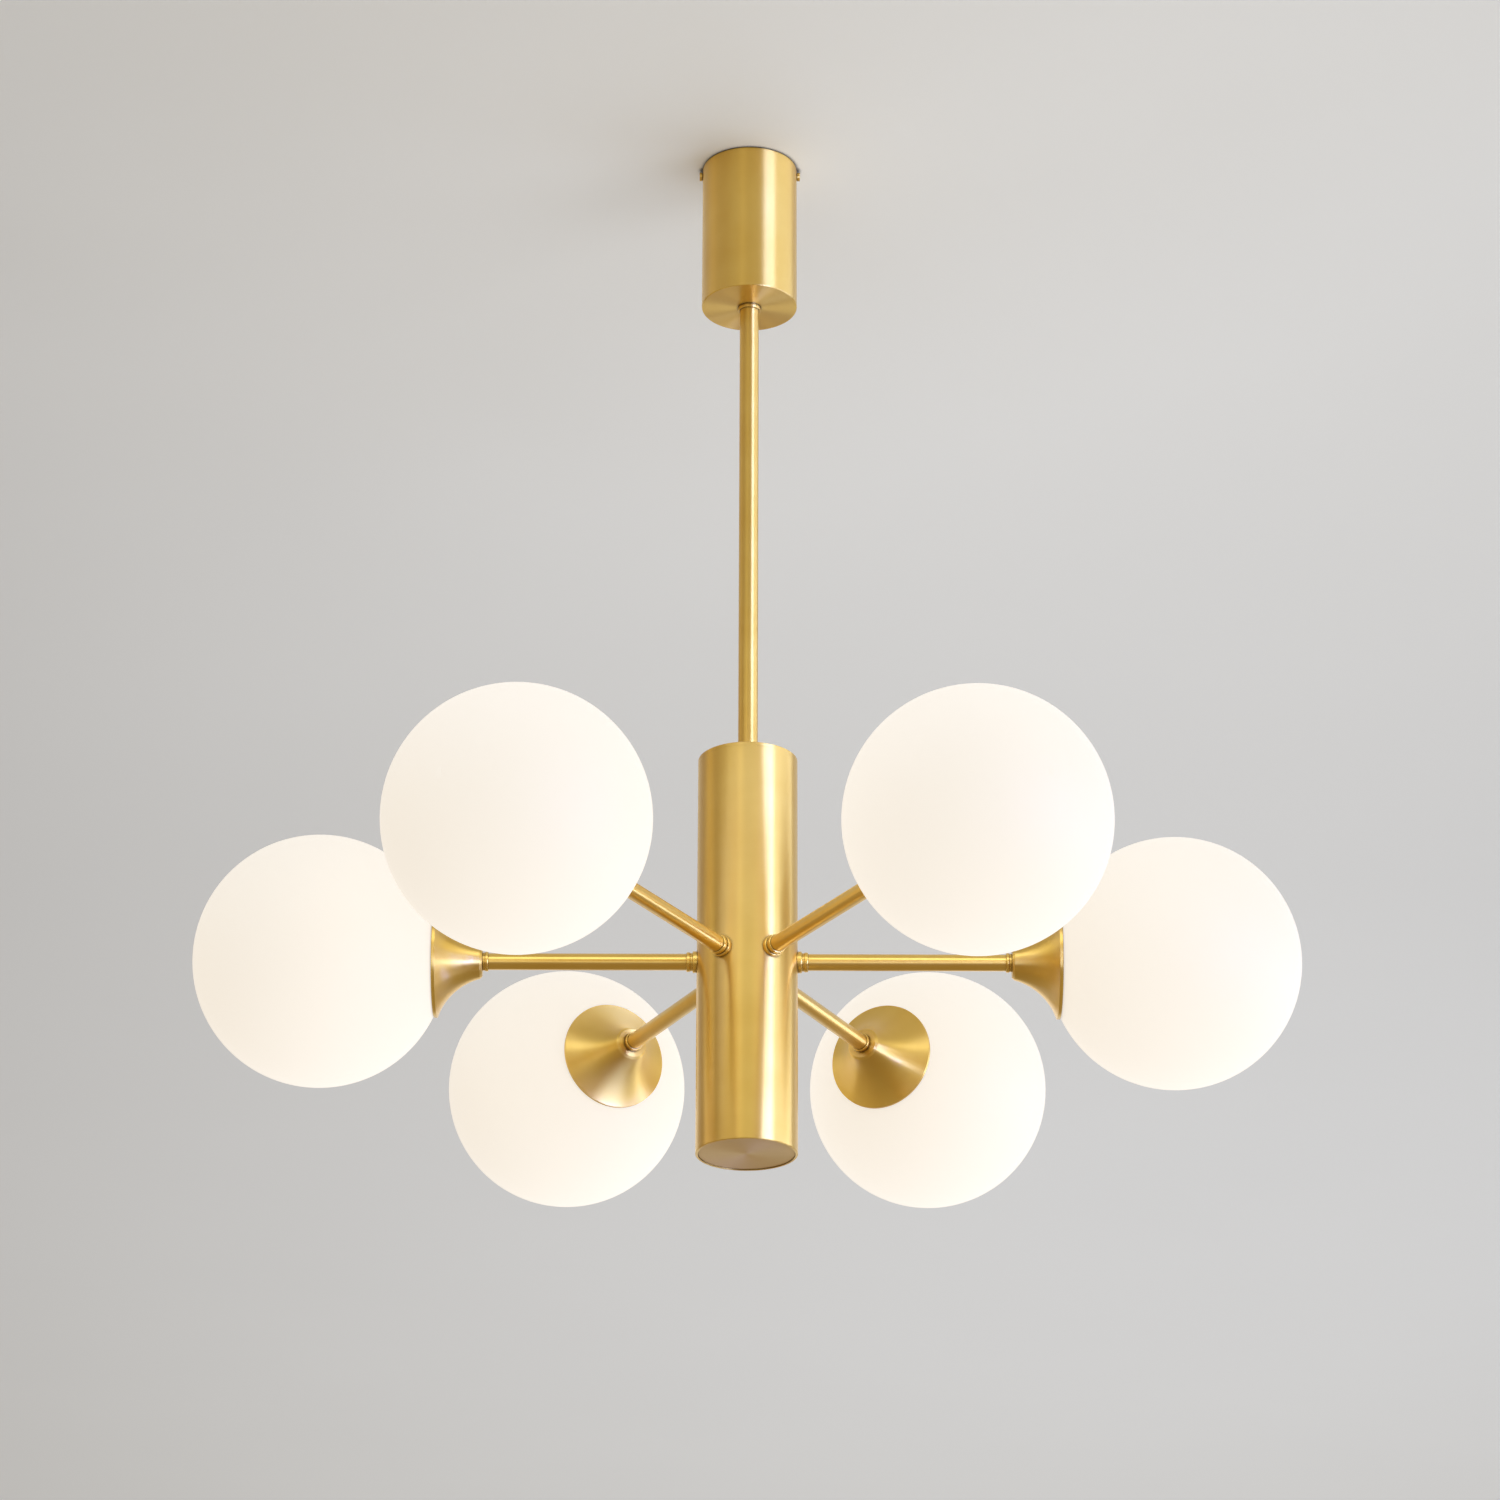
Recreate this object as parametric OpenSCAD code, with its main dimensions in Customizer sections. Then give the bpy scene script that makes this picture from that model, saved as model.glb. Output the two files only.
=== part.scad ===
// Branch chandelier: six level arms on a tubular body, each ending in a trumpet cup that holds an opal
// globe, hung from the ceiling by a straight rod under a cylindrical canopy.
// Millimetres, +Z up. The origin is the centre of the ceiling plate, on the plane of the ceiling.

/* [Canopy] */
// Outer diameter of the canopy
canopy_d = 60; // [60:1:90]
// Depth of the canopy's bottom below the ceiling
canopy_h = 100; // [70:1:200]
// Wall of the canopy
canopy_wall = 1.2; // [0.8:0.1:1.4]
// Thickness of the canopy's closed bottom
canopy_floor = 1.5; // [1:0.1:3]
// Shadow gap between the ceiling and the canopy's rim
ceiling_gap = 0.5; // [0.2:0.1:1.5]
// Outer diameter of the ring where the rod leaves the canopy
collar_d = 14.4; // [14:0.2:20]
// Thickness of that ring
collar_t = 2.5; // [1.5:0.1:5]

/* [Canopy side screws] */
// Diameter of the side screws' thread
side_screw_d = 4; // [3:0.5:5]
// Diameter of their heads
side_head_d = 5.5; // [5:0.5:7]
// Height of their heads
side_head_h = 1.8; // [1.2:0.1:3]
// Distance of their axes below the canopy's rim
side_screw_drop = 4; // [4:0.5:7]

/* [Ceiling plate] */
// Width of the ceiling plate's strap
plate_w = 20; // [18:1:24]
// Thickness of the strap
plate_t = 2; // [1.5:0.1:2.2]
// Depth of the plate's middle below the ceiling
plate_drop = 16; // [14:1:24]
// Distance between the centres of the two ceiling slots
slot_spacing = 38; // [36:0.5:38.5]
// Length of a ceiling slot
slot_len = 8; // [6:0.5:8.5]
// Width of a ceiling slot
slot_w = 4.5; // [3.5:0.5:6]

/* [Rod] */
// Outer diameter of the rod
rod_d = 12; // [11.5:0.1:12.4]
// Length of rod that shows between the canopy and the body
rod_show = 312; // [150:1:900]
// Diameter of the threaded nipples inside the rod's ends
nipple_d = 10; // [9:0.5:10]
// Bore of the nipples
nipple_bore = 7; // [6:0.5:7.5]
// Length of a nipple that the rod holds
nipple_grip = 18; // [10:1:30]

/* [Body] */
// Outer diameter of the body
body_d = 60; // [54:1:90]
// Height of the body with its top cap
body_len = 250; // [190:1:400]
// Wall of the body tube
body_wall = 1.5; // [1:0.1:2.5]
// Depth of the arms below the top of the body
arm_level = 130; // [100:1:180]
// Thickness of the end caps
cap_t = 2.5; // [1.5:0.1:4]
// Length of the end caps' spigots inside the tube
spigot_len = 6; // [3:0.5:12]
// Depth of the bottom cap inside the tube's lower edge
bottom_recess = 0.6; // [0:0.1:2]

/* [Arms] */
// Outer diameter of an arm
arm_d = 10; // [9:0.1:10.4]
// Wall of an arm
arm_wall = 1; // [0.8:0.1:1.5]
// Distance of the globes' centres from the lamp's axis
globe_reach = 253.5; // [200:0.5:320]
// Angle by which each rear arm is drawn in towards the back
rear_pull = 3; // [0:0.5:6]
// Diameter of the ring that seats an arm on the body
seat_ring_d = 13; // [12.6:0.1:16]
// Diameter of the small rings on an arm
small_ring_d = 11.8; // [11.6:0.1:12.4]

/* [Cups] */
// Outer diameter of a cup's rim
cup_rim_d = 67; // [60:1:72]
// Outer diameter of a cup's narrow end
cup_neck_d = 20; // [20:0.5:24]
// Length of a cup
cup_len = 28.5; // [27:0.5:34]
// Radius of the flare's curve
flare_r = 36.6; // [32:0.1:44]
// Wall of a cup
cup_wall = 1.2; // [0.8:0.1:1.4]
// Length of the straight lip at a cup's rim
lip_len = 2; // [1.5:0.1:3]

/* [Globes] */
// Outer diameter of a globe
globe_d = 150; // [140:1:165]
// Thickness of the glass
glass_t = 2.2; // [1.8:0.1:3]
// Outer diameter of a globe's threaded neck
neck_d = 31; // [29:0.5:31]
// Length of the neck below the ball
neck_len = 6; // [4:0.5:6]
// Thickness of a globe's gasket
gasket_t = 1.5; // [1:0.1:1.6]

/* [Bulbs] */
// Diameter of a capsule bulb
bulb_d = 14; // [12:0.5:15]
// Length of a capsule bulb without its pins
bulb_len = 50; // [40:1:60]
// Distance between a bulb's two pins
pin_spacing = 9; // [8:0.5:9.5]
// Diameter of a pin
pin_d = 1.6; // [1:0.1:2]
// Length of a pin
pin_len = 11; // [8:0.5:11]

/* [Lampholders] */
// Outer diameter of a lampholder
holder_d = 18; // [17:0.5:19]
// Length of a lampholder
holder_len = 17; // [16.5:0.5:18]

/* [Wiring] */
// Diameter of the supply lead inside the rod
supply_lead_d = 4.4; // [3:0.1:5]
// Diameter of each arm's lead
arm_lead_d = 2.6; // [2:0.1:3]
// Width of the splice block inside the body
splice_w = 14; // [13:1:18]
// Height of the splice block
splice_h = 22; // [15:1:30]

/* [Hidden] */
$fn = 96;
ARMS = 6;
NUMBERED = ["arm", "cup", "gasket", "globe", "bulb"];

// Clearances
fit = 0.05;        // radial, between parts that slide, press or screw together
hole_gap = 0.1;    // radial, round a tube or thread that passes a plate
pin_gap = 0.4;     // radial, round a bulb's pin in its holder
glass_gap = 0.3;   // between glass and what it seats on
corner_gap = 0.9;  // between the ceiling plate's corners and the canopy
bush_gap = 0.5;    // between a side screw's bush and the ceiling plate
head_gap = 0.2;    // between a side screw's head and the canopy
cut = 1;           // what a cutter runs past the face that it cuts

// Arm angles, anticlockwise from +X as seen from above; the rear pair is drawn in towards +Y
pull = [0, rear_pull, -rear_pull, 0, 0, 0];
angles = [for (i = [0:ARMS - 1]) i * 360 / ARMS + pull[i]];

// Levels
rod_top = -plate_drop - plate_t;
body_top = -canopy_h - rod_show;
body_bottom = body_top - body_len;
arm_z = body_top - arm_level;

// Threads and nuts
nipple_r = nipple_d / 2;
arm_r = arm_d / 2;
nut_margin = 4;   // across flats, more than the thread
nut_t = 4;
thread_over = 3;  // thread that stands proud of a nut
nipple_top = -plate_drop + nut_t + thread_over;

// Canopy and ceiling plate
canopy_r = canopy_d / 2;
canopy_ir = canopy_r - canopy_wall;
canopy_round = 0.6;
side_z = -ceiling_gap - side_screw_drop;
bush_wall = 1.5;
bush_r = side_screw_d / 2 + bush_wall;
hex_socket = 2.5;      // across flats
hex_floor = 0.7;       // left of the head under its socket
ear_x = sqrt(pow(canopy_ir - corner_gap, 2) - pow(plate_w / 2, 2));
ear_len = -side_z + side_screw_d + plate_t;
slot_edge = 1;         // left of the plate between a slot and the web
web_x = slot_spacing / 2 - slot_len / 2 - slot_edge;

// Collar of the canopy
collar_r = collar_d / 2;
collar_neck_wall = 0.7;
collar_neck_r = rod_d / 2 + collar_neck_wall;
collar_step = 0.3;
collar_step_r = collar_neck_r + collar_step;
collar_step_t = 0.4;
collar_nut_t = 2.5;
collar_over = 1;       // thread that stands proud of the nut
collar_neck_len = canopy_floor + collar_nut_t + collar_over;

// Terminal block, on a tab of the ceiling plate
tab_w = 18;
tab_len = 30;
tab_y = plate_w / 2;
block_w = 18;
block_d = 12;
block_h = 18;
block_drop = 10;
block_top = rod_top - block_drop;
block_z = block_top - block_h / 2;
pole_spacing = 6;
row_spacing = 11;      // between the two rows of clamp screws
clamp_head_r = 2;
clamp_head_h = 1.2;
clamp_shank_r = 1.2;
clamp_shank_len = 5;
clamp_sink = 0.3;      // depth of the clamp screws' heads below the block's face
drive_w = 0.7;         // slot in a screw's head
drive_h = 0.6;
fix_head_r = 2.7;
fix_head_h = 2;
fix_shank_r = 1.5;
fix_recess = 4;
entry_r = 1.6;
entry_len = 7;
earth_r = 2;
earth_head_r = 4;
earth_head_h = 2.4;
earth_len = 3.5;
earth_drop = 1;        // between the earth screw's head and the plate's middle
earth_x = tab_w / 2 - earth_head_r;
earth_z = rod_top - earth_head_r - earth_drop;

// Body
body_r = body_d / 2;
body_ir = body_r - body_wall;
edge_chamfer = 0.4;
spigot_wall = 2.5;
washer_r = 10;
washer_t = 1.5;

// Arms: distances from the lamp's axis along an arm
seat_ring_t = 2.4;
groove_t = 1.3;
small_ring_t = 2.4;
groove_wall = 0.5;     // of a ring's sleeve in its groove
groove_r = arm_r + groove_wall;
ring_round = 0.6;
arm_nut_out = sqrt(pow(body_ir, 2) - pow((arm_d + nut_margin) / 2, 2)) - fit;
arm_start = arm_nut_out - nut_t - thread_over;

// Cups: distances from the lamp's axis along an arm
globe_r = globe_d / 2;
rim_r = cup_rim_d / 2;
rim_end = globe_reach - sqrt(pow(globe_r + glass_gap, 2) - pow(rim_r - cup_wall, 2));
cup_start = rim_end - cup_len;
cup_neck_r = cup_neck_d / 2;
cup_floor = 3;
cup_chamfer = 1;
lip_chamfer = 0.3;
flare_len = cup_len - lip_len;
arm_end = cup_start + cup_floor + nut_t + thread_over;
cup_groove_t = 1.6;
cup_ring_t = 2;

// Centre of the flare's curve, as [distance from the cup's axis, distance from its narrow end]
chord = [rim_r - cup_neck_r, flare_len];
rise = sqrt(pow(flare_r, 2) - pow(norm(chord) / 2, 2));
flare_c = [
    (rim_r + cup_neck_r) / 2 + rise * chord[1] / norm(chord),
    flare_len / 2 - rise * chord[0] / norm(chord)
];

// Neck of the globe, socket ring and gasket: distances from the lamp's axis along an arm
glass_ir = globe_r - glass_t;
neck_r = neck_d / 2;
neck_root = globe_reach - sqrt(pow(globe_r, 2) - pow(neck_r, 2));
neck_end = neck_root - neck_len;
socket_wall = 2.8;
socket_out_r = neck_r + socket_wall;
gasket_end = neck_root - glass_gap;
gasket_start = gasket_end - gasket_t;

// Lampholder and bulb: distances from the lamp's axis along an arm
holder_start = cup_start + cup_floor + nut_t;
holder_end = holder_start + holder_len;
holder_step = 1;
holder_nose_r = holder_d / 2 - holder_step;
holder_nose_len = 7;
end_gap = 0.5;         // at the end of what stands in a blind hole
holder_bore_len = thread_over + end_gap;
bulb_start = holder_end + glass_gap;
bulb_base_step = 0.5;
bulb_base_r = bulb_d / 2 - bulb_base_step;
bulb_base_len = 5;
pin_hole_r = pin_d / 2 + pin_gap;
pin_hole_len = pin_len + end_gap;

// Wiring
lead_r = supply_lead_d / 2;
lead_y = tab_y + block_d / 2;
arch_r = lead_y / 2;
arch_drop = 1;         // between the lead's arch and the ceiling
arch_z = -arch_r - lead_r - arch_drop;
splice_drop = 45;      // of the splice block below the body's top
splice_top = body_top - splice_drop;
arm_lead_circle = 4.5;
arm_lead_bend = 10;

brass = [0.79, 0.63, 0.33];
dull_brass = [0.68, 0.60, 0.44];
steel = [0.72, 0.73, 0.75];
opal = [0.98, 0.96, 0.91];
ceramic = [0.93, 0.92, 0.89];
silicone = [0.86, 0.86, 0.84];
plastic = [0.92, 0.92, 0.90];
sheath = [0.85, 0.84, 0.80];

module tube(outer_r, inner_r, height) {
    difference() {
        cylinder(r = outer_r, h = height);
        translate([0, 0, -cut]) cylinder(r = inner_r, h = height + 2 * cut);
    }
}

module hex_nut(thread_r, height) {
    difference() {
        cylinder(r = (2 * thread_r + nut_margin) / sqrt(3), h = height, $fn = 6);
        translate([0, 0, -cut]) cylinder(r = thread_r + fit, h = height + 2 * cut);
    }
}

// Outline of a ring with rounded outer edges, from height 0 up
module ring_outline(inner_r, outer_r, height) {
    core_r = outer_r - ring_round;
    difference() {
        union() {
            square([core_r, height]);
            translate([0, ring_round]) square([outer_r, height - 2 * ring_round]);
            for (z = [ring_round, height - ring_round]) translate([core_r, z]) circle(ring_round);
        }
        translate([0, -cut]) square([inner_r, height + 2 * cut]);
    }
}

// Places its children on arm i, with +Z running out along the arm from the lamp's axis
module on_arm(i) {
    rotate([0, 0, angles[i]]) translate([0, 0, arm_z]) rotate([0, 90, 0]) children();
}

module on_every_arm() {
    for (i = [0:ARMS - 1]) on_arm(i) children();
}

// Places its children on the canopy's side, with +Z running out through the wall; side is 1 or -1
module at_side(side) {
    translate([0, 0, side_z]) rotate([0, side * 90, 0]) children();
}

// Places its children on the front face of the terminal block, with +Z running out of it
module on_block(x, z) {
    translate([x, tab_y + block_d, z]) rotate([-90, 0, 0]) children();
}

module on_clamps() {
    for (x = [-1, 0, 1]) for (row = [-1, 1])
        on_block(x * pole_spacing, block_z + row * row_spacing / 2) children();
}

// Cuts a screwdriver's slot into the head of its children, whose top lies at the given height
module slotted(head_r, top) {
    difference() {
        children();
        translate([-head_r, -drive_w / 2, top - drive_h]) cube([2 * head_r, drive_w, drive_h + cut]);
    }
}

// ---- Ceiling plate and what it carries ----

module ceiling_slot() {
    straight = slot_len - slot_w;
    depth = plate_t + 2 * cut;
    translate([-straight / 2, -slot_w / 2, 0]) cube([straight, slot_w, depth]);
    for (side = [-1, 1]) translate([side * straight / 2, 0, 0]) cylinder(r = slot_w / 2, h = depth);
}

module ceiling_plate() {
    color(steel) difference() {
        union() {
            for (side = [0, 1]) mirror([side, 0, 0]) {
                translate([web_x - plate_t, -plate_w / 2, -plate_t])
                    cube([ear_x - web_x + plate_t, plate_w, plate_t]);
                translate([web_x - plate_t, -plate_w / 2, rod_top]) cube([plate_t, plate_w, -rod_top]);
                translate([ear_x - plate_t, -plate_w / 2, -ear_len]) cube([plate_t, plate_w, ear_len]);
            }
            translate([-web_x, -plate_w / 2, rod_top]) cube([2 * web_x, plate_w, plate_t]);
            translate([-tab_w / 2, tab_y - plate_t, rod_top - tab_len])
                cube([tab_w, plate_t, tab_len + plate_t]);
        }
        for (side = [-1, 1]) translate([side * slot_spacing / 2, 0, -plate_t - cut]) ceiling_slot();
        translate([0, 0, rod_top - cut]) cylinder(r = nipple_r + hole_gap, h = plate_t + 2 * cut);
        translate([0, tab_y + cut, block_z]) rotate([90, 0, 0])
            cylinder(r = fix_shank_r + fit, h = plate_t + 2 * cut);
        translate([earth_x, tab_y + cut, earth_z]) rotate([90, 0, 0])
            cylinder(r = earth_r + fit, h = plate_t + 2 * cut);
    }
}

module earth_screw() {
    color(brass) translate([earth_x, tab_y, earth_z]) rotate([-90, 0, 0])
        slotted(earth_head_r, earth_head_h) {
            cylinder(r = earth_head_r, h = earth_head_h, $fn = 6);
            translate([0, 0, -earth_len]) cylinder(r = earth_r, h = earth_len + cut);
        }
}

module terminal_block() {
    clamp_top = -clamp_sink - clamp_head_h;
    color(plastic) difference() {
        translate([-block_w / 2, tab_y, block_z - block_h / 2]) cube([block_w, block_d, block_h]);
        on_clamps() translate([0, 0, clamp_top]) cylinder(r = clamp_head_r + hole_gap, h = 2 * cut);
        on_clamps() translate([0, 0, clamp_top - clamp_shank_len])
            cylinder(r = clamp_shank_r + fit, h = clamp_shank_len + cut);
        on_block(0, block_z) translate([0, 0, -fix_recess])
            cylinder(r = fix_head_r + hole_gap, h = fix_recess + cut);
        on_block(0, block_z) translate([0, 0, -block_d - cut])
            cylinder(r = fix_shank_r + fit, h = block_d + cut);
        for (x = [-1, 0, 1]) translate([x * pole_spacing, lead_y, block_z - block_h / 2 - cut])
            cylinder(r = entry_r, h = entry_len + cut);
    }
}

module terminal_block_screw() {
    color(steel) on_block(0, block_z) slotted(fix_head_r, fix_head_h - fix_recess) {
        translate([0, 0, -fix_recess]) cylinder(r = fix_head_r, h = fix_head_h);
        translate([0, 0, -block_d - plate_t])
            cylinder(r = fix_shank_r, h = block_d + plate_t - fix_recess + cut);
    }
}

module terminal_screws() {
    color(steel) on_clamps() slotted(clamp_head_r, -clamp_sink)
        translate([0, 0, -clamp_sink - clamp_head_h]) {
            cylinder(r = clamp_head_r, h = clamp_head_h);
            translate([0, 0, -clamp_shank_len]) cylinder(r = clamp_shank_r, h = clamp_shank_len + clamp_head_h);
        }
}

// ---- Canopy ----

module canopy() {
    wall_h = canopy_h - ceiling_gap;
    color(brass) difference() {
        rotate_extrude() difference() {
            union() {
                translate([0, canopy_round - canopy_h]) square([canopy_r, wall_h - canopy_round]);
                translate([0, -canopy_h]) square([canopy_r - canopy_round, wall_h]);
                translate([canopy_r - canopy_round, canopy_round - canopy_h]) circle(canopy_round);
            }
            translate([0, canopy_floor - canopy_h]) square([canopy_ir, canopy_h]);
            translate([0, -canopy_h - cut]) square([collar_neck_r + fit, canopy_floor + 2 * cut]);
        }
        for (side = [-1, 1]) at_side(side) cylinder(r = side_screw_d / 2 + hole_gap, h = canopy_r + cut);
    }
}

module canopy_collar() {
    bore = rod_d / 2 + fit;
    color(brass) translate([0, 0, -canopy_h]) rotate_extrude() difference() {
        union() {
            translate([0, -collar_t]) ring_outline(bore, collar_r, collar_t - collar_step_t);
            translate([0, -collar_t + ring_round]) square([collar_step_r, collar_t - ring_round]);
            square([collar_neck_r, collar_neck_len]);
        }
        translate([0, -collar_t - cut]) square([bore, collar_t + collar_neck_len + 2 * cut]);
    }
}

module canopy_collar_nut() {
    color(steel) translate([0, 0, canopy_floor - canopy_h]) hex_nut(collar_neck_r, collar_nut_t);
}

module canopy_screw_bushes() {
    start = ear_x + bush_gap;
    color(steel) for (side = [-1, 1]) intersection() {
        at_side(side) translate([0, 0, start]) tube(bush_r, side_screw_d / 2 + fit, canopy_r - start);
        translate([0, 0, side_z - canopy_r]) cylinder(r = canopy_ir, h = canopy_d);
    }
}

module canopy_screw(side) {
    head = canopy_r + head_gap;
    socket_h = side_head_h - hex_floor;
    color(brass) at_side(side) difference() {
        union() {
            translate([0, 0, ear_x]) cylinder(r = side_screw_d / 2, h = head - ear_x + cut);
            translate([0, 0, head]) cylinder(r = side_head_d / 2, h = side_head_h);
        }
        translate([0, 0, head + hex_floor]) cylinder(r = hex_socket / sqrt(3), h = socket_h + cut, $fn = 6);
    }
}

// ---- Rod ----

module rod_top_nipple() {
    color(steel) translate([0, 0, rod_top - nipple_grip])
        tube(nipple_r, nipple_bore / 2, nipple_top - rod_top + nipple_grip);
}

module rod_top_nut() {
    color(steel) translate([0, 0, -plate_drop]) hex_nut(nipple_r, nut_t);
}

module down_rod() {
    color(brass) translate([0, 0, body_top]) tube(rod_d / 2, nipple_r + fit, rod_top - body_top);
}

module rod_bottom_nipple() {
    bottom = body_top - cap_t - washer_t - nut_t - thread_over;
    color(steel) translate([0, 0, bottom]) tube(nipple_r, nipple_bore / 2, body_top + nipple_grip - bottom);
}

module rod_bottom_washer() {
    color(steel) translate([0, 0, body_top - cap_t - washer_t])
        tube(washer_r, nipple_r + hole_gap, washer_t);
}

module rod_bottom_nut() {
    color(steel) translate([0, 0, body_top - cap_t - washer_t - nut_t]) hex_nut(nipple_r, nut_t);
}

// ---- Body ----

module body_top_cap() {
    spigot_r = body_ir - fit;
    color(brass) translate([0, 0, body_top - cap_t]) rotate_extrude() difference() {
        union() {
            polygon([
                [0, 0],
                [body_r, 0],
                [body_r, cap_t - edge_chamfer],
                [body_r - edge_chamfer, cap_t],
                [0, cap_t]
            ]);
            translate([spigot_r - spigot_wall, -spigot_len]) square([spigot_wall, spigot_len + cut]);
        }
        translate([0, -cut]) square([nipple_r + hole_gap, cap_t + 2 * cut]);
    }
}

module body_tube() {
    tube_top = body_top - cap_t;
    color(brass) difference() {
        rotate_extrude() polygon([
            [body_ir, body_bottom],
            [body_r - edge_chamfer, body_bottom],
            [body_r, body_bottom + edge_chamfer],
            [body_r, tube_top],
            [body_ir, tube_top]
        ]);
        on_every_arm() cylinder(r = arm_r + hole_gap, h = body_r + cut);
    }
}

module body_bottom_cap() {
    spigot_r = body_ir - fit;
    color(dull_brass) translate([0, 0, body_bottom + bottom_recess]) {
        cylinder(r = spigot_r, h = cap_t);
        tube(spigot_r, spigot_r - spigot_wall, cap_t + spigot_len);
    }
}

// ---- Arms ----

module arm(i) {
    color(brass) on_arm(i) translate([0, 0, arm_start]) tube(arm_r, arm_r - arm_wall, arm_end - arm_start);
}

module arm_seat_collars() {
    seat_len = body_r + seat_ring_t - body_ir;
    color(brass) for (i = [0:ARMS - 1]) difference() {
        on_arm(i) translate([0, 0, body_ir]) rotate_extrude() {
            ring_outline(arm_r + fit, seat_ring_d / 2, seat_len);
            translate([arm_r + fit, seat_len - cut]) square([groove_r - arm_r - fit, groove_t + 2 * cut]);
            translate([0, seat_len + groove_t]) ring_outline(arm_r + fit, small_ring_d / 2, small_ring_t);
        }
        translate([0, 0, arm_z - body_r]) cylinder(r = body_r + fit, h = body_d);
    }
}

module arm_lock_nuts() {
    color(steel) on_every_arm() translate([0, 0, arm_nut_out - nut_t]) hex_nut(arm_r, nut_t);
}

// ---- Cups ----

module cup_ferrules() {
    groove_start = cup_start - cup_groove_t;
    color(brass) on_every_arm() translate([0, 0, groove_start]) rotate_extrude() {
        translate([0, -cup_ring_t]) ring_outline(arm_r + fit, small_ring_d / 2, cup_ring_t);
        translate([arm_r + fit, -cut]) square([groove_r - arm_r - fit, cup_groove_t + cut]);
    }
}

module cup_outline() {
    chamfer_out = cup_neck_r + cup_chamfer;
    difference() {
        union() {
            intersection() {
                translate(flare_c) circle(flare_r + cup_wall);
                square([rim_r, flare_len]);
            }
            square([rim_r, cup_floor]);
            translate([rim_r - cup_wall, flare_len - cut]) square([cup_wall, lip_len + cut]);
        }
        translate(flare_c) circle(flare_r);
        translate([0, -cut]) square([arm_r + hole_gap, cup_floor + 2 * cut]);
        polygon([
            [cup_neck_r - cup_chamfer - cut, -cut],
            [chamfer_out, -cut],
            [chamfer_out, 2 * cup_chamfer]
        ]);
        polygon([
            [rim_r - lip_chamfer, cup_len],
            [rim_r + cut, cup_len - lip_chamfer - cut],
            [rim_r + cut, cup_len + cut],
            [rim_r - lip_chamfer, cup_len + cut]
        ]);
    }
}

module cup(i) {
    color(brass) on_arm(i) translate([0, 0, cup_start]) rotate_extrude() cup_outline();
}

module cup_lock_nuts() {
    color(steel) on_every_arm() translate([0, 0, cup_start + cup_floor]) hex_nut(arm_r, nut_t);
}

// The ring's outside follows the flare's inside, and its bore takes the globe's neck
module globe_sockets() {
    base = neck_end - cup_start;
    color(steel) on_every_arm() translate([0, 0, cup_start]) rotate_extrude() difference() {
        translate([neck_r + fit, base]) square([socket_out_r - neck_r - fit, gasket_start - neck_end]);
        translate(flare_c) circle(flare_r + cup_wall + fit);
    }
}

module gasket(i) {
    color(silicone) on_arm(i) translate([0, 0, gasket_start])
        tube(socket_out_r, neck_r + glass_gap, gasket_t);
}

// ---- Lampholders, bulbs and globes ----

module lampholders() {
    color(ceramic) on_every_arm() translate([0, 0, holder_start]) difference() {
        union() {
            cylinder(r = holder_d / 2, h = holder_len - holder_nose_len);
            cylinder(r = holder_nose_r, h = holder_len);
        }
        translate([0, 0, -cut]) cylinder(r = arm_r + fit, h = holder_bore_len + cut);
        for (side = [-1, 1]) translate([0, side * pin_spacing / 2, holder_len - pin_hole_len])
            cylinder(r = pin_hole_r, h = pin_hole_len + cut);
    }
}

module bulb(i) {
    tip = bulb_len - bulb_d / 2;
    color(opal) on_arm(i) translate([0, 0, bulb_start]) {
        rotate_extrude() {
            square([bulb_base_r, bulb_base_len]);
            translate([0, bulb_base_len - cut / 2]) square([bulb_d / 2, tip - bulb_base_len + cut / 2]);
            intersection() {
                translate([0, tip]) circle(bulb_d / 2);
                square([bulb_d, bulb_len]);
            }
        }
        for (side = [-1, 1]) translate([0, side * pin_spacing / 2, -pin_len])
            cylinder(r = pin_d / 2, h = pin_len + cut);
    }
}

module globe(i) {
    color(opal) on_arm(i) rotate_extrude() difference() {
        union() {
            translate([0, globe_reach]) circle(globe_r);
            translate([0, neck_end]) square([neck_r, globe_reach - neck_end]);
        }
        translate([0, globe_reach]) circle(glass_ir);
        translate([0, neck_end - cut]) square([neck_r - glass_t, globe_reach - neck_end]);
        translate([-globe_d, 0]) square([globe_d, 2 * globe_reach]);
    }
}

// ---- Wiring ----

module supply_lead() {
    color(sheath) {
        translate([0, lead_y, block_top]) cylinder(r = lead_r, h = arch_z - block_top);
        translate([0, arch_r, arch_z]) rotate([90, 0, 90]) rotate_extrude(angle = 180)
            translate([arch_r, 0]) circle(lead_r);
        translate([0, 0, splice_top]) cylinder(r = lead_r, h = arch_z - splice_top);
    }
}

module splice_block() {
    color(plastic) translate([-splice_w / 2, -splice_w / 2, splice_top - splice_h])
        cube([splice_w, splice_w, splice_h]);
}

module arm_leads() {
    bend_x = arm_lead_circle + arm_lead_bend;
    bend_z = arm_z + arm_lead_bend;
    color(sheath) for (angle = angles) rotate([0, 0, angle]) {
        translate([arm_lead_circle, 0, bend_z])
            cylinder(d = arm_lead_d, h = splice_top - splice_h - bend_z);
        translate([bend_x, 0, bend_z]) rotate([90, 180, 0]) rotate_extrude(angle = 90)
            translate([arm_lead_bend, 0]) circle(d = arm_lead_d);
        translate([bend_x, 0, arm_z]) rotate([0, 90, 0])
            cylinder(d = arm_lead_d, h = holder_start + holder_bore_len - bend_x);
    }
}

// ---- Assembly ----

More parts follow.
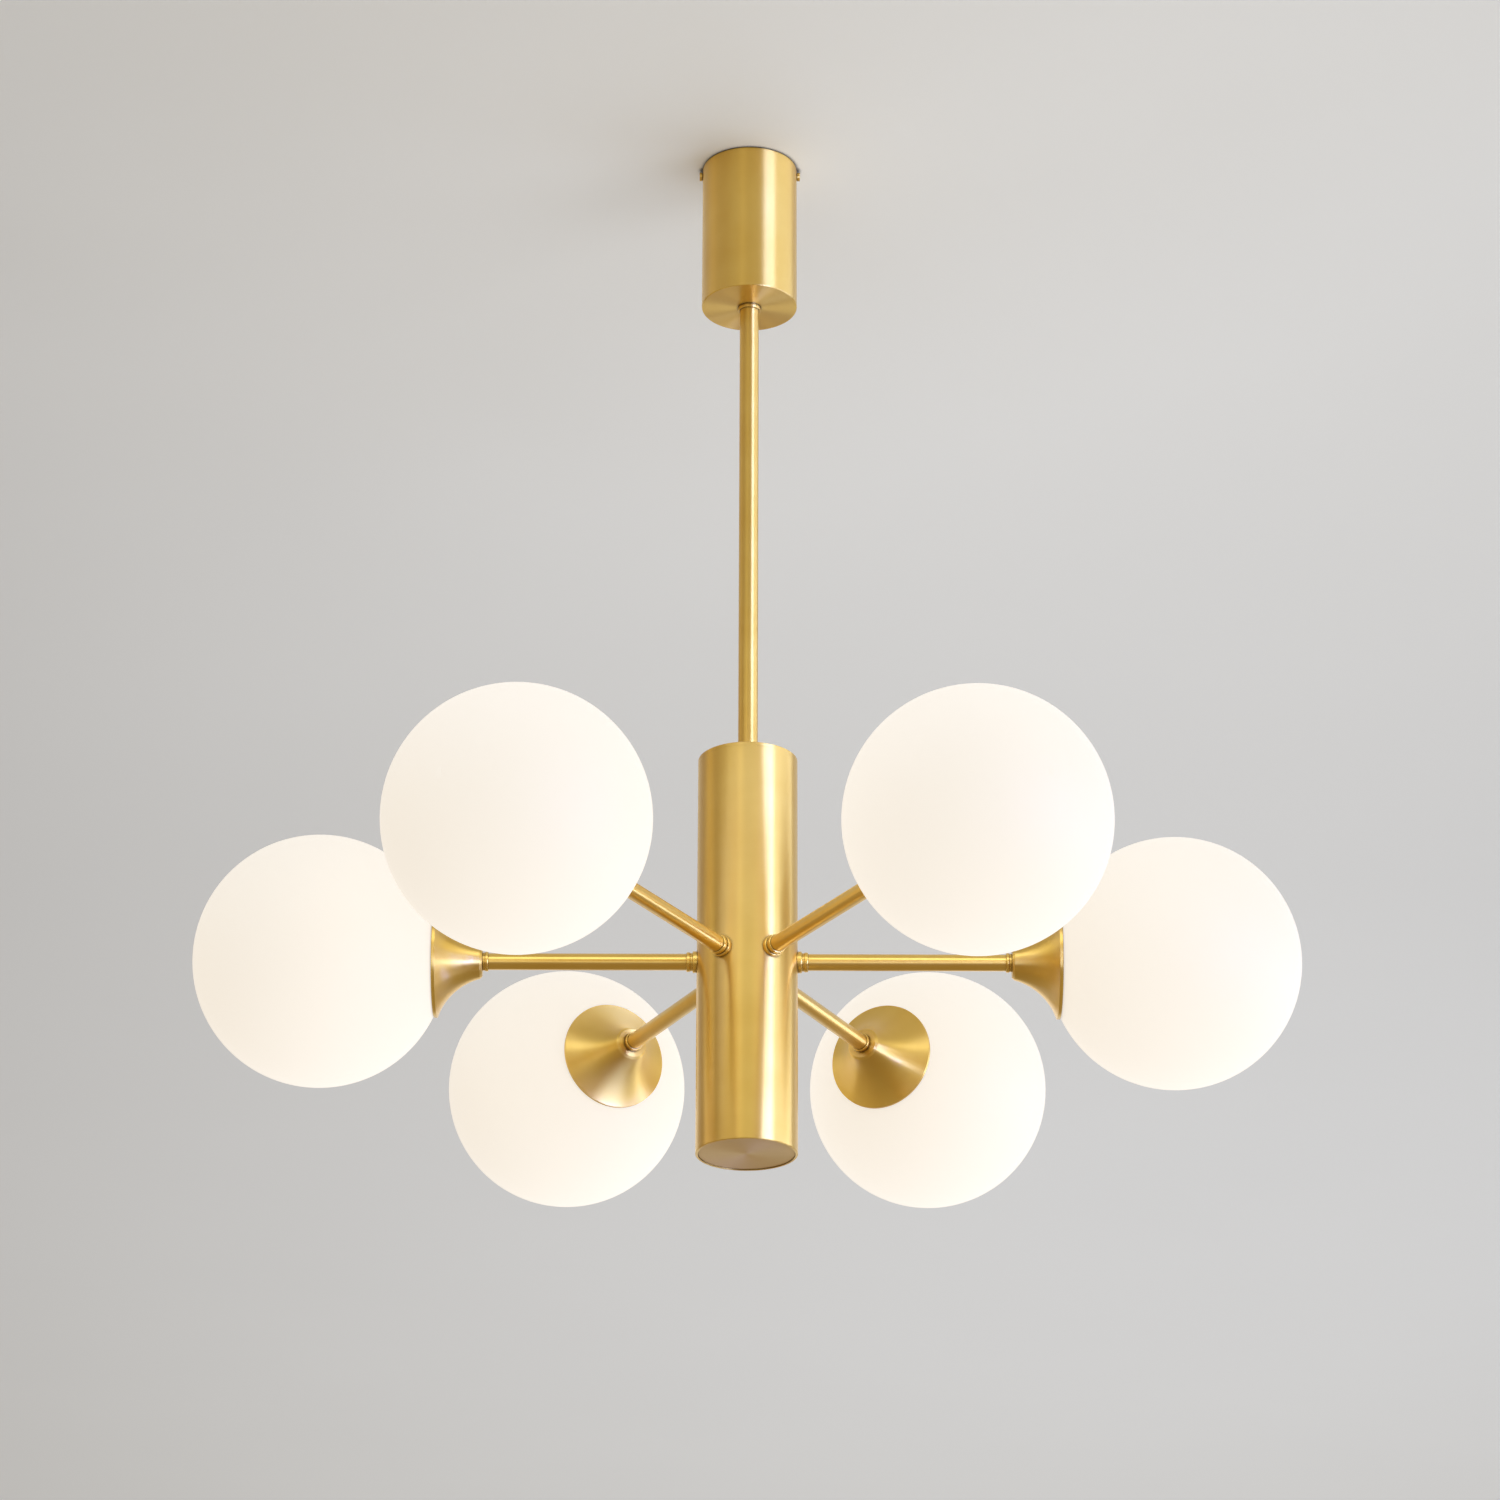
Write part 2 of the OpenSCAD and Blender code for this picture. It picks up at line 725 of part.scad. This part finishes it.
ceiling_plate();
earth_screw();
terminal_block();
terminal_block_screw();
terminal_screws();
canopy();
canopy_collar();
canopy_collar_nut();
canopy_screw_bushes();
canopy_screw(1);  // canopy_screw_right
canopy_screw(-1);  // canopy_screw_left
rod_top_nipple();
rod_top_nut();
down_rod();
rod_bottom_nipple();
rod_bottom_washer();
rod_bottom_nut();
body_top_cap();
body_tube();
body_bottom_cap();
arm_seat_collars();
arm_lock_nuts();
cup_ferrules();
cup_lock_nuts();
globe_sockets();
lampholders();
supply_lead();
splice_block();
arm_leads();
for (i = [1:ARMS]) {
    arm(i - 1);
    cup(i - 1);
    gasket(i - 1);
    globe(i - 1);
    bulb(i - 1);
}
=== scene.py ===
"""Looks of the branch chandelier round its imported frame: satin brass, lit opal globes and soft light."""

import math

import bpy
from mathutils import Matrix, Vector


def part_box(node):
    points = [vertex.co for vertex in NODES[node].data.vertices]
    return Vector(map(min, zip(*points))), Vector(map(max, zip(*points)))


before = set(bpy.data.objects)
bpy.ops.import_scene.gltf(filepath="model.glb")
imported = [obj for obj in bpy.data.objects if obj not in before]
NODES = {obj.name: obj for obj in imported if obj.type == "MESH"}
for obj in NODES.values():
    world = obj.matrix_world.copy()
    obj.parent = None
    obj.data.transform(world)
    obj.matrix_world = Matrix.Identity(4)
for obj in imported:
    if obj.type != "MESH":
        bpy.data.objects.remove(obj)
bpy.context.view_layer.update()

ARMS = range(1, 7)


def centre_of(node):
    lo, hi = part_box(node)
    return (lo + hi) / 2


ARM_LEVEL = centre_of("arm_1").z


# ---- Camera, as fitted to the photograph's 1500 x 1500 frame ----

IMAGE_SIDE = 1500
FOCAL_PX = 4625.0
SENSOR_MM = 36.0
CAMERA_DISTANCE = 2.7457    # from the middle of the arms' level, in metres
CAMERA_BELOW = 21.007       # degrees below that level
CAMERA_PITCH = 23.635
CAMERA_YAW = -0.041
CAMERA_ROLL = 0.174
CAMERA_SIDE_STEP = 0.0031


def camera_turn():
    """The camera's rotation, from its pitch, yaw and roll."""
    pitch, yaw, roll = (math.radians(v) for v in (CAMERA_PITCH, CAMERA_YAW, CAMERA_ROLL))
    forward = Vector((
        math.sin(yaw) * math.cos(pitch),
        math.cos(yaw) * math.cos(pitch),
        math.sin(pitch),
    ))
    level_right = Vector((math.cos(yaw), -math.sin(yaw), 0))
    level_up = level_right.cross(forward)
    right = math.cos(roll) * level_right + math.sin(roll) * level_up
    up = math.cos(roll) * level_up - math.sin(roll) * level_right
    return Matrix((right, up, -forward)).transposed()


def add_camera():
    below = math.radians(CAMERA_BELOW)
    place = Vector((
        CAMERA_SIDE_STEP,
        -CAMERA_DISTANCE * math.cos(below),
        ARM_LEVEL - CAMERA_DISTANCE * math.sin(below),
    ))
    data = bpy.data.cameras.new("camera")
    data.sensor_width = SENSOR_MM
    data.lens = FOCAL_PX / IMAGE_SIDE * SENSOR_MM
    camera = bpy.data.objects.new("camera", data)
    camera.matrix_world = Matrix.Translation(place) @ camera_turn().to_4x4()
    bpy.context.scene.collection.objects.link(camera)
    bpy.context.scene.camera = camera


# ---- Shader building ----

NOISE_LOW = 0.3             # nearly all of a noise's values lie between these two
NOISE_HIGH = 0.7


class Shader:
    """A material's node tree, with short calls for the nodes that it is built from."""

    def __init__(self, name):
        self.material = bpy.data.materials.new(name)
        self.material.use_nodes = True
        self.tree = self.material.node_tree
        self.tree.nodes.clear()
        self.output = self.tree.nodes.new("ShaderNodeOutputMaterial")

    def node(self, kind, inputs=None, **settings):
        made = self.tree.nodes.new(kind)
        for key, value in settings.items():
            setattr(made, key, value)
        for key, value in (inputs or {}).items():
            self.put(made.inputs[key], value)
        return made

    def put(self, socket, value):
        if isinstance(value, bpy.types.NodeSocket):
            self.tree.links.new(value, socket)
        elif value is not None:
            socket.default_value = value

    def surface(self, shader):
        self.tree.links.new(shader.outputs[0], self.output.inputs["Surface"])
        return self.material

    def math(self, operation, a, b=None):
        made = self.node("ShaderNodeMath", operation=operation)
        for socket, value in zip(made.inputs, (a, b)):
            self.put(socket, value)
        return made.outputs[0]

    def vector(self, operation, a, b=None, out="Vector"):
        made = self.node("ShaderNodeVectorMath", operation=operation)
        for socket, value in zip(made.inputs, (a, b)):
            self.put(socket, value)
        return made.outputs[out]

    def scaled(self, vector, factor):
        inputs = {0: vector, "Scale": factor}
        return self.node("ShaderNodeVectorMath", inputs, operation="SCALE").outputs["Vector"]

    def noise(self, vector, scale, detail=3.0, roughness=0.5):
        inputs = {"Vector": vector, "Scale": scale, "Detail": detail, "Roughness": roughness}
        return self.node("ShaderNodeTexNoise", inputs).outputs["Fac"]

    def spread(self, value, low, high, start=0.0, end=1.0):
        """The value's stretch from start to end, as a number that runs from low to high."""
        inputs = {"Value": value, "From Min": start, "From Max": end, "To Min": low, "To Max": high}
        return self.node("ShaderNodeMapRange", inputs).outputs["Result"]

    def vary(self, noise, low, high):
        """A noise, as a number that runs from low to high."""
        return self.spread(noise, low, high, NOISE_LOW, NOISE_HIGH)

    def blend(self, factor, a, b):
        made = self.node("ShaderNodeMix", data_type="RGBA")
        self.put(made.inputs["Factor"], factor)
        self.put(made.inputs[6], a)
        self.put(made.inputs[7], b)
        return made.outputs[2]

    def bump(self, height, distance, strength, normal=None):
        inputs = {"Height": height, "Distance": distance, "Strength": strength, "Normal": normal}
        return self.node("ShaderNodeBump", inputs).outputs["Normal"]

    def openness(self, reach, samples=6):
        """1 on an open face, and less where another face is within reach."""
        return self.node("ShaderNodeAmbientOcclusion", {"Distance": reach}, samples=samples).outputs["AO"]

    def place(self):
        """Position on the object at rest, in metres, in the row frame."""
        return self.node("ShaderNodeTexCoord").outputs["Object"]

    def principled(self, **inputs):
        """A Principled shader, whose inputs are named as its sockets are, in small letters."""
        named = {key.replace("_", " ").title().replace("Ior", "IOR"): v for key, v in inputs.items()}
        return self.surface(self.node("ShaderNodeBsdfPrincipled", named))


def srgb(red, green, blue):
    """A colour written as 0-255 screen values, as the linear colour that a shader takes."""
    def linear(value):
        value /= 255
        return value / 12.92 if value <= 0.04045 else ((value + 0.055) / 1.055) ** 2.4
    return (linear(red), linear(green), linear(blue), 1.0)


def wear(material, *names):
    for name in names:
        slots = NODES[name].data.materials
        slots.clear()
        slots.append(material)


# ---- Brass ----

UP = Vector((0, 0, 1))
LAMP_AXIS = Vector((0, 0, 0))
ARMS_CENTRE = Vector((0, 0, ARM_LEVEL))

BRASS = (srgb(240, 200, 96), srgb(234, 190, 82))
DULL_BRASS = (srgb(234, 205, 148), srgb(222, 193, 136))
# painted shade: the dark brown that grooves and rims are painted with where another face is near
CREVICE_SHADE_COLOUR = srgb(74, 48, 14)
CREVICE_REACH = 0.0022      # how near another face has to be to paint shade into a groove, in metres
CREVICE_SHUT = 0.35         # openness at which the painted shade in a groove is darkest
CREVICE_OPEN = 0.85         # and from which no shade is painted
EDGE_ROUND = 0.00035
PATCH_SCALE = 22.0          # soft patches, in noise cells a metre
LINES_ACROSS = 1400.0       # fine lines, in noise cells a metre across them
LINES_ALONG = 18.0          # and along them
LINE_DEPTH = 0.00001
LINE_STRENGTH = 0.2
LINE_ROUGHNESS = 0.03       # how far the fine lines move the roughness, up and down
PATCH_SMOOTHER = 0.02       # how far the soft patches move it down
PATCH_ROUGHER = 0.03        # and up
LACQUER_ROUGHNESS = 0.25


def outward(s):
    """Level direction away from the lamp's axis, which is the axis of each arm's small rings."""
    return s.vector("NORMALIZE", s.vector("MULTIPLY", s.place(), (1, 1, 0)))


def ring_space(s, axis, foot):
    """Coordinates in which a noise is drawn out into fine rings round the axis, and the way round it."""
    place = s.vector("SUBTRACT", s.place(), tuple(foot))
    along = s.vector("DOT_PRODUCT", place, axis, out="Value")
    around = s.vector("CROSS_PRODUCT", axis, place)
    radius = s.vector("LENGTH", around, out="Value")
    rings = s.math("MULTIPLY", s.math("ADD", along, radius), LINES_ACROSS)
    drawn = s.node("ShaderNodeCombineXYZ", {"X": rings, "Y": rings, "Z": rings}).outputs[0]
    return s.vector("ADD", s.scaled(around, LINES_ALONG), drawn), around


def turned_brass(name, axis=UP, foot=LAMP_AXIS, tones=BRASS, roughness=0.4, anisotropic=0.98, lacquer=0.7):
    """Satin brass whose fine lines run round the axis, or where that is None, round each arm's."""
    s = Shader(name)
    ring_place, around = ring_space(s, tuple(axis) if axis else outward(s), foot)
    lines = s.noise(ring_place, 1.0, detail=4.0, roughness=0.65)
    patches = s.noise(s.place(), PATCH_SCALE, detail=3.0, roughness=0.55)
    colour = s.blend(s.vary(patches, 0.0, 1.0), *tones)
    # painted shade: the brass colour is darkened towards a dark brown where another face is near, in grooves
    # and at rims
    crevice_shade_mask = s.spread(s.openness(CREVICE_REACH), 0.0, 1.0, CREVICE_SHUT, CREVICE_OPEN)
    rounded = s.node("ShaderNodeBevel", {"Radius": EDGE_ROUND}, samples=4).outputs[0]
    fine = s.vary(lines, -LINE_ROUGHNESS, LINE_ROUGHNESS)
    soft = s.spread(patches, roughness - PATCH_SMOOTHER, roughness + PATCH_ROUGHER)
    face = s.node("ShaderNodeNewGeometry").outputs["Normal"]
    return s.principled(
        base_color=s.blend(crevice_shade_mask, CREVICE_SHADE_COLOUR, colour),
        metallic=1.0,
        roughness=s.math("ADD", fine, soft),
        anisotropic=anisotropic,
        tangent=s.vector("CROSS_PRODUCT", face, around),
        normal=s.bump(lines, LINE_DEPTH, LINE_STRENGTH, rounded),
        coat_weight=lacquer,
        coat_roughness=LACQUER_ROUGHNESS,
    )


# ---- Glass ----

GLOW = srgb(255, 247, 235)
OPAL = (srgb(192, 190, 186), srgb(188, 186, 182))
OPAL_GLOW = 0.65
CLOUD_SCALE = 14.0
FROSTED = srgb(244, 240, 230)
FROST_SCALE = 400.0


def opal_glass(name):
    """Lit opal globe: the bulb's light comes through evenly, and the room's light falls on it."""
    s = Shader(name)
    cloud = s.noise(s.place(), CLOUD_SCALE, detail=2.0)
    return s.principled(
        base_color=s.blend(cloud, *OPAL),
        roughness=s.spread(cloud, 0.62, 0.72),
        ior=1.45,
        specular_ior_level=0.15,
        emission_color=GLOW,
        emission_strength=OPAL_GLOW,
    )


def frosted_bulb(name):
    s = Shader(name)
    return s.principled(
        base_color=FROSTED,
        roughness=s.spread(s.noise(s.place(), FROST_SCALE), 0.35, 0.5),
        emission_color=GLOW,
        emission_strength=1.0,
    )


# ---- Inner pieces ----

ZINC = (srgb(190, 192, 196), srgb(168, 171, 178))
ZINC_GRAIN_SCALE = 700.0
ZINC_PATCH_SCALE = 90.0
ZINC_GRAIN_DEPTH = 0.00004
MOULD_GRAIN_SCALE = 600.0
MOULD_GRAIN_DEPTH = 0.00003
MOULD_DARKER = 0.9          # the darker of a moulding's two tones, as a part of the paler one
MOULD_ROUGHNESS = 0.06      # how far the grain moves the roughness, up and down


def zinc_steel(name):
    s = Shader(name)
    grain = s.noise(s.place(), ZINC_GRAIN_SCALE, detail=5.0)
    return s.principled(
        base_color=s.blend(s.noise(s.place(), ZINC_PATCH_SCALE), *ZINC),
        metallic=1.0,
        roughness=s.vary(grain, 0.28, 0.46),
        normal=s.bump(grain, ZINC_GRAIN_DEPTH, 0.25),
    )


def plain_moulding(name, colour, roughness):
    s = Shader(name)
    grain = s.noise(s.place(), MOULD_GRAIN_SCALE)
    darker = tuple(v * MOULD_DARKER for v in colour[:3]) + (1.0,)
    return s.principled(
        base_color=s.blend(s.spread(grain, 0.0, 1.0, 0.35, 0.65), colour, darker),
        roughness=s.vary(grain, roughness - MOULD_ROUGHNESS, roughness + MOULD_ROUGHNESS),
        normal=s.bump(grain, MOULD_GRAIN_DEPTH, 0.2),
    )


# ---- Dressing the frame's nodes ----

UPRIGHT_NODES = (
    "canopy", "canopy_collar", "down_rod", "body_top_cap", "body_tube",
    "canopy_screw_right", "canopy_screw_left", "earth_screw",
)
ZINC_NODES = (
    "ceiling_plate", "terminal_block_screw", "terminal_screws", "canopy_collar_nut", "canopy_screw_bushes",
    "rod_top_nipple", "rod_top_nut", "rod_bottom_nipple", "rod_bottom_washer", "rod_bottom_nut",
    "arm_lock_nuts", "cup_lock_nuts", "globe_sockets",
)


def arm_axis(i):
    """Direction of arm i, away from the lamp's axis."""
    middle = centre_of(f"arm_{i}")
    return Vector((middle.x, middle.y, 0)).normalized()


def dress_brass():
    wear(turned_brass("turned_brass_upright"), *UPRIGHT_NODES)
    dull = turned_brass("dull_brass", tones=DULL_BRASS, roughness=0.56, anisotropic=0.5, lacquer=0.0)
    wear(dull, "body_bottom_cap")
    rings = turned_brass("turned_brass_rings", None, ARMS_CENTRE, roughness=0.27, anisotropic=0.6)
    wear(rings, "arm_seat_collars", "cup_ferrules")
    for i in ARMS:
        line = (arm_axis(i), ARMS_CENTRE)
        wear(turned_brass(f"turned_brass_cup_{i}", *line), f"cup_{i}")
        wear(turned_brass(f"turned_brass_arm_{i}", *line, roughness=0.3, anisotropic=0.7), f"arm_{i}")


def dress_globes():
    wear(opal_glass("opal_glass"), *(f"globe_{i}" for i in ARMS))
    wear(frosted_bulb("frosted_bulb_glass"), *(f"bulb_{i}" for i in ARMS))
    wear(plain_moulding("silicone", srgb(222, 222, 218), 0.55), *(f"gasket_{i}" for i in ARMS))


def dress_inner_pieces():
    wear(zinc_steel("zinc_steel"), *ZINC_NODES)
    wear(plain_moulding("ceramic", srgb(240, 238, 230), 0.3), "lampholders")
    wear(plain_moulding("white_plastic", srgb(234, 234, 230), 0.45), "terminal_block", "splice_block")
    wear(plain_moulding("lead_sheath", srgb(216, 212, 200), 0.5), "supply_lead", "arm_leads")


# ---- Ceiling ----

CEILING_REACH = 12.0
CEILING_LEFT_END = -1.6     # beyond it the brass mirrors the left card
CEILING_HOLE = 0.024        # radius of the hole over the canopy, through which its inside is lit
# painted light and shade: the ceiling is painted darker on the left and paler on the right, as the light
# falls from the right
CEILING_SHADED = srgb(226, 230, 234)
CEILING_LIT = srgb(234, 238, 242)
FAN_FOOT = -2.75            # the Y from which the ceiling's tones fan out, from painted shade on the left to painted light on the right
FAN_LEAST = 1.0             # least distance from there that counts
FAN_HALF = 0.175            # how far to the side the fan reaches, per metre of distance
MIDDLE_LIFT = 0.07          # how much more painted light the middle of the fan gets than its sides
NEAR_LIFT = 1.09            # how much painted light the ceiling gets up to LIFT_NEAR
FAR_LIFT = 0.935            # and from LIFT_FAR on
LIFT_NEAR = -0.3
LIFT_FAR = 1.2
BACK_LIFT = 0.115           # how much more painted light it gets from BACK_FROM to BACK_TO
BACK_FROM = 1.0
BACK_TO = 3.6
MOTTLE_SCALE = 3.0
MOTTLE = 0.005              # how much paler and darker its mottle is
CONTACT_REACH = 0.0035      # reach of the painted shadow line where something meets the ceiling
CONTACT_SHADE = 0.15         # how pale that painted shadow is, next to 1 for open ceiling
CONTACT_SHUT = 0.4          # openness at which it is darkest, and from which it ends
CONTACT_OPEN = 0.8


def ceiling_painted_light(s, y, aside):
    """Painted light on the ceiling at a place: how pale it is made by its depth and by how far aside it lies
    in the fan.
    """
    # painted light: the ceiling is made paler near the front, towards the back and in the middle of the fan
    lift = s.spread(y, NEAR_LIFT, FAR_LIFT, LIFT_NEAR, LIFT_FAR)
    lift = s.math("ADD", lift, s.spread(y, 0.0, BACK_LIFT, BACK_FROM, BACK_TO))
    off_middle = s.math("POWER", s.math("ABSOLUTE", s.math("DIVIDE", aside, FAN_HALF)), 2.0)
    lift = s.math("ADD", lift, s.spread(off_middle, MIDDLE_LIFT, 0.0))
    return s.math("MULTIPLY", lift, s.vary(s.noise(s.place(), MOTTLE_SCALE), 1 - MOTTLE, 1 + MOTTLE))


def ceiling_tone(s):
    """Ceiling paint with painted light and shade: it grades from painted shade on the left to painted light
    on the right and with depth, and has a painted shadow line where something meets it.
    """
    at = s.node("ShaderNodeSeparateXYZ", {0: s.place()}).outputs
    depth = s.math("MAXIMUM", s.math("SUBTRACT", at["Y"], FAN_FOOT), FAN_LEAST)
    aside = s.math("DIVIDE", at["X"], depth)
    # painted shade on the left of the fan, painted light on its right
    colour = s.blend(s.spread(aside, 0.0, 1.0, -FAN_HALF, FAN_HALF), CEILING_SHADED, CEILING_LIT)
    # painted shadow: the ceiling is darkened in a thin line where the canopy or anything else comes near it
    contact_shade = s.spread(s.openness(CONTACT_REACH), CONTACT_SHADE, 1.0, CONTACT_SHUT, CONTACT_OPEN)
    return s.scaled(colour, s.math("MULTIPLY", ceiling_painted_light(s, at["Y"], aside), contact_shade))


def ceiling_paint():
    """Paint that shows from below only, and not over the canopy, so that a view from above is open."""
    s = Shader("ceiling_paint")
    paint = s.node("ShaderNodeBsdfDiffuse", {"Color": ceiling_tone(s)})
    clear = s.node("ShaderNodeBsdfTransparent")
    back = s.node("ShaderNodeNewGeometry").outputs["Backfacing"]
    hole = s.math("LESS_THAN", s.vector("LENGTH", s.place(), out="Value"), CEILING_HOLE)
    unseen = s.math("MAXIMUM", back, hole)
    return s.surface(s.node("ShaderNodeMixShader", {0: unseen, 1: paint.outputs[0], 2: clear.outputs[0]}))


def add_board(name, corners, material):
    """A flat, four-cornered part of the stage."""
    mesh = bpy.data.meshes.new(name)
    mesh.from_pydata(corners, [], [(0, 1, 2, 3)])
    mesh.materials.append(material)
    board = bpy.data.objects.new(name, mesh)
    bpy.context.scene.collection.objects.link(board)
    return board


def add_ceiling():
    left, right = CEILING_LEFT_END, CEILING_REACH
    front, back = -CEILING_REACH, CEILING_REACH
    corners = [(left, back, 0), (right, back, 0), (right, front, 0), (left, front, 0)]
    add_board("ceiling", corners, ceiling_paint())


# ---- Room and cards ----

ROOM = srgb(226, 225, 223)
FLOOR_CARD = srgb(158, 143, 118)
FLOOR_CARD_Z = -4.4
FLOOR_CARD_HALF = 7.0
LEFT_CARD = srgb(176, 158, 130)
LEFT_CARD_X = -3.0
LEFT_CARD_HALF = 3.0
LEFT_CARD_TOP = 1.4


def add_room():
    """A plain pale room on every side."""
    world = bpy.data.worlds.new("room")
    world.use_nodes = True
    world.node_tree.nodes["Background"].inputs["Color"].default_value = ROOM
    bpy.context.scene.world = world


def card_paint(name, colour):
    s = Shader(name)
    return s.surface(s.node("ShaderNodeEmission", {"Color": colour, "Strength": 1.0}))


def add_cards():
    """Warm, darker cards under the lamp and on its left, which give the brass its darker sides.

    The camera doesn't see them, so that the room stays plain in every view.
    """
    half, z = FLOOR_CARD_HALF, FLOOR_CARD_Z
    floor_corners = [(-half, -half, z), (half, -half, z), (half, half, z), (-half, half, z)]
    floor = add_board("floor_card", floor_corners, card_paint("floor_card_paint", FLOOR_CARD))
    x, half, top = LEFT_CARD_X, LEFT_CARD_HALF, LEFT_CARD_TOP
    left_corners = [(x, -half, z), (x, half, z), (x, half, top), (x, -half, top)]
    left = add_board("left_card", left_corners, card_paint("left_card_paint", LEFT_CARD))
    for card in (floor, left):
        card.visible_camera = False


# ---- Lamps. Angles are in degrees to the right of the line from the chandelier to the camera ----

PANE_TOP = -0.02
WINDOW_FOOT = -1.6
# name, turn, distance, width, foot, radiance and colour
PANES = (
    ("strip", 46.0, 2.6, 1.2, WINDOW_FOOT, 6.5, (0.72, 1.05, 4.4)),
    ("window", 85.0, 3.0, 3.6, WINDOW_FOOT, 3.1, (0.8, 1.04, 2.7)),
    ("front_reflector", -16.0, 1.1, 0.24, -0.9, 0.4, (1.0, 1.0, 1.0)),
    ("left_reflector", -95.0, 1.2, 0.42, -0.9, 0.36, (1.0, 0.8, 0.25)),
)
HOOD_PLACE = (0.0, -0.43, -0.3)
HOOD_WIDTH = 1.6
HOOD_DEPTH = 0.36
HOOD_RADIANCE = 1.5
HOOD_COLOUR = (0.9, 1.0, 1.3)
SOFT_TARGET = (0, 0, -0.1)
KEY_PLACE = (3.4, -1.6, -3.4)
KEY_SIDE = 2.2
KEY_RADIANCE = 1.5
KEY_COLOUR = (1.0, 1.0, 1.0)
BOUNCE_PLACE = (1.0, 1.4, -3.2)
BOUNCE_SIDE = 4.5
BOUNCE_RADIANCE = 0.86
BOUNCE_COLOUR = (0.93, 1.0, 1.15)


def add_area(name, place, target, width, height, radiance, colour):
    """A rectangular lamp, as bright as a white surface of that radiance."""
    data = bpy.data.lights.new(name, "AREA")
    data.shape = "RECTANGLE"
    data.size = width
    data.size_y = height
    data.energy = radiance * math.pi * width * height
    data.color = colour
    lamp = bpy.data.objects.new(name, data)
    lamp.location = place
    lamp.rotation_mode = "QUATERNION"
    lamp.rotation_quaternion = (Vector(place) - Vector(target)).to_track_quat("Z", "Y")
    lamp.visible_camera = False
    bpy.context.scene.collection.objects.link(lamp)
    return lamp


def add_pane(name, turn, away, width, foot, radiance, colour):
    """A tall pane of light beside the chandelier and under the ceiling, which only brass and glass mirror."""
    angle = math.radians(turn)
    middle = (PANE_TOP + foot) / 2
    place = (away * math.sin(angle), -away * math.cos(angle), middle)
    pane = add_area(name, place, (0, 0, middle), width, PANE_TOP - foot, radiance, colour)
    pane.visible_diffuse = False


def add_hood():
    """A level pane in front of the body and above the arms, which draws the line along their tops."""
    x, y, z = HOOD_PLACE
    hood = add_area("hood", HOOD_PLACE, (x, y, z - 1), HOOD_WIDTH, HOOD_DEPTH, HOOD_RADIANCE, HOOD_COLOUR)
    hood.visible_diffuse = False


def add_soft(name, place, side, radiance, colour):
    """Soft light on plain surfaces, which nothing mirrors."""
    soft = add_area(name, place, SOFT_TARGET, side, side, radiance, colour)
    soft.visible_glossy = False


def add_lamps():
    for pane in PANES:
        add_pane(*pane)
    add_hood()
    add_soft("key", KEY_PLACE, KEY_SIDE, KEY_RADIANCE, KEY_COLOUR)
    add_soft("bounce", BOUNCE_PLACE, BOUNCE_SIDE, BOUNCE_RADIANCE, BOUNCE_COLOUR)


# ---- Making the scene ----

add_camera()
dress_brass()
dress_globes()
dress_inner_pieces()
add_ceiling()
add_lamps()
add_room()
add_cards()
bpy.context.scene.view_settings.view_transform = "Standard"
